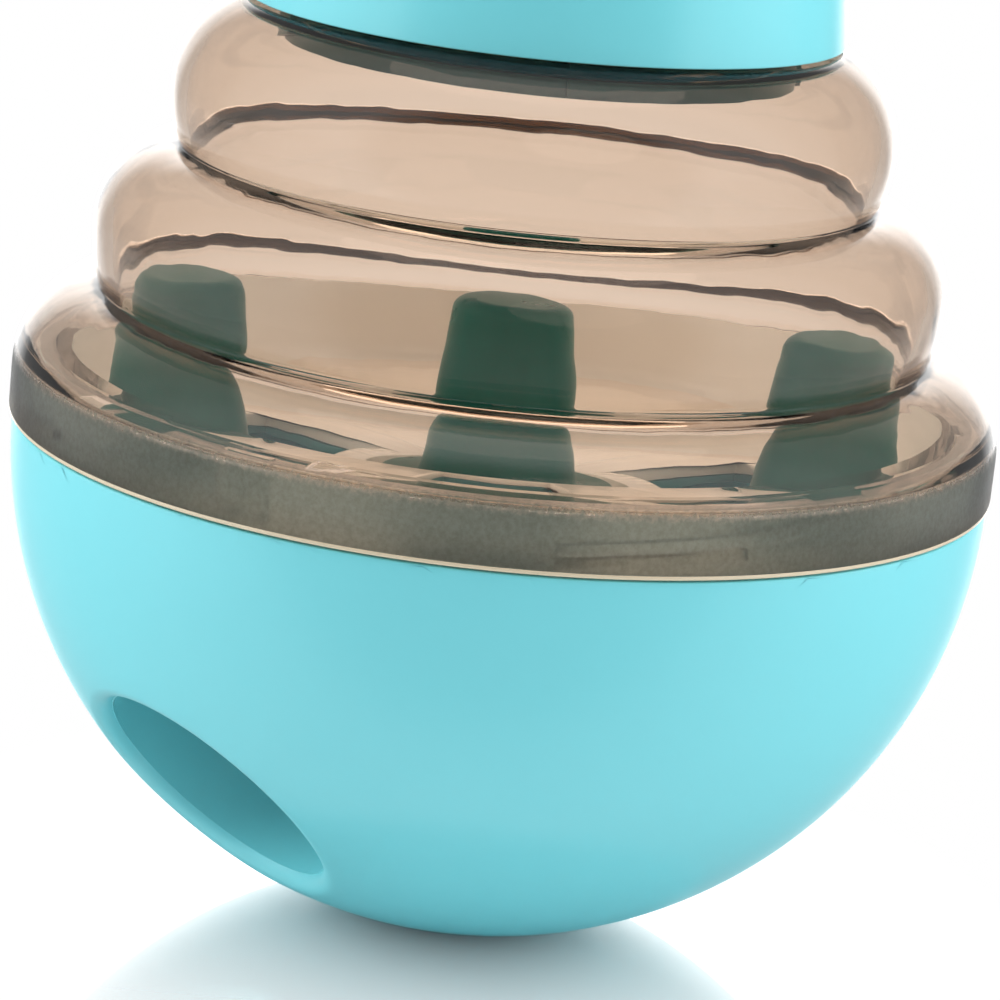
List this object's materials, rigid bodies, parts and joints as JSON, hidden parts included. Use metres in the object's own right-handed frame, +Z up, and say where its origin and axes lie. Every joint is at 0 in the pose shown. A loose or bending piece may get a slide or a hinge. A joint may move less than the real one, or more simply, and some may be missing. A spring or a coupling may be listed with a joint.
{
  "type": "treat tumbler ball",
  "caption": "Round-bottomed rocking treat ball with a side outlet, a weighted bowl, a smoky ribbed see-through shell, inner posts over an adjustable shutter and a screw cap.",
  "frame": {"origin": "middle of the small flat foot that the bowl stands on, under the ball's upright axis", "axes": "+Z up along the ball's upright axis, -Y towards the side that the picture is taken from, +X to its right; the outlet faces forward, left and down"},
  "size_m": [0.1148, 0.1148, 0.132],
  "materials": {
    "bowl_plastic": "smooth glossy moulded plastic",
    "collar_plastic": "clear smoke-tinted moulded plastic, fine frosted",
    "floor_plastic": "smooth moulded plastic",
    "smoky_plastic": "clear smoke-tinted moulded plastic, glossy",
    "tray_plastic": "clear smoke-tinted moulded plastic, fine frosted rim",
    "post_plastic": "smooth moulded plastic, deep blue-green",
    "knob_plastic": "smooth moulded plastic, deep blue-green",
    "shutter_plastic": "satin moulded plastic",
    "cap_plastic": "smooth glossy moulded plastic",
    "liner_plastic": "smooth moulded plastic",
    "seal_silicone": "soft matt silicone",
    "weight_iron": "grey cast iron, lacquered",
    "pad_foam": "soft black foam",
    "screw_steel": "bright zinc-plated steel"
  },
  "bodies": {
    "bowl": {"bowl_shell": "bowl_plastic", "collar_ring": "collar_plastic", "chute_floor": "floor_plastic", "floor_screws": "screw_steel", "counterweight": "weight_iron", "weight_pad": "pad_foam", "weight_washer": "screw_steel", "weight_screw": "screw_steel"},
    "tray": {"divider_tray": "tray_plastic", "side_post_left": "post_plastic", "side_post_right": "post_plastic"},
    "shutter": {"adjusting_knob": "knob_plastic", "shutter_disc": "shutter_plastic", "shutter_washer": "screw_steel", "shutter_screw": "screw_steel"},
    "shell": {"ribbed_shell": "smoky_plastic"},
    "cap_seal": {"cap_seal_ring": "seal_silicone"},
    "cap": {"top_cap": "cap_plastic", "cap_liner": "liner_plastic"}
  },
  "joints": [
    {"name": "tray_lift", "type": "slide", "parent": "bowl", "child": "tray", "axis": [0, 0, 1], "range_m": [0, 0.0041]},
    {"name": "shutter_turn", "type": "hinge", "parent": "tray", "child": "shutter", "pos_m": [0, 0, 0.0531], "axis": [0, 0, 1], "range_deg": [0, 42]},
    {"name": "shell_twist", "type": "hinge", "parent": "tray", "child": "shell", "pos_m": [0, 0, 0.06], "axis": [0, 0, 1], "range_deg": [0, 60]},
    {"name": "cap_lift", "type": "slide", "parent": "shell", "child": "cap_seal", "axis": [0, 0, 1], "range_m": [0, 0.0041]},
    {"name": "cap_twist", "type": "hinge", "parent": "cap_seal", "child": "cap", "pos_m": [0, 0, 0.11], "axis": [0, 0, 1], "range_deg": [0, 60]}
  ],
  "couplings": [
    {"joint": "tray_lift", "follows": "shell_twist", "m_per_rad": 0.0038197},
    {"joint": "cap_lift", "follows": "cap_twist", "m_per_rad": 0.0038197}
  ]
}
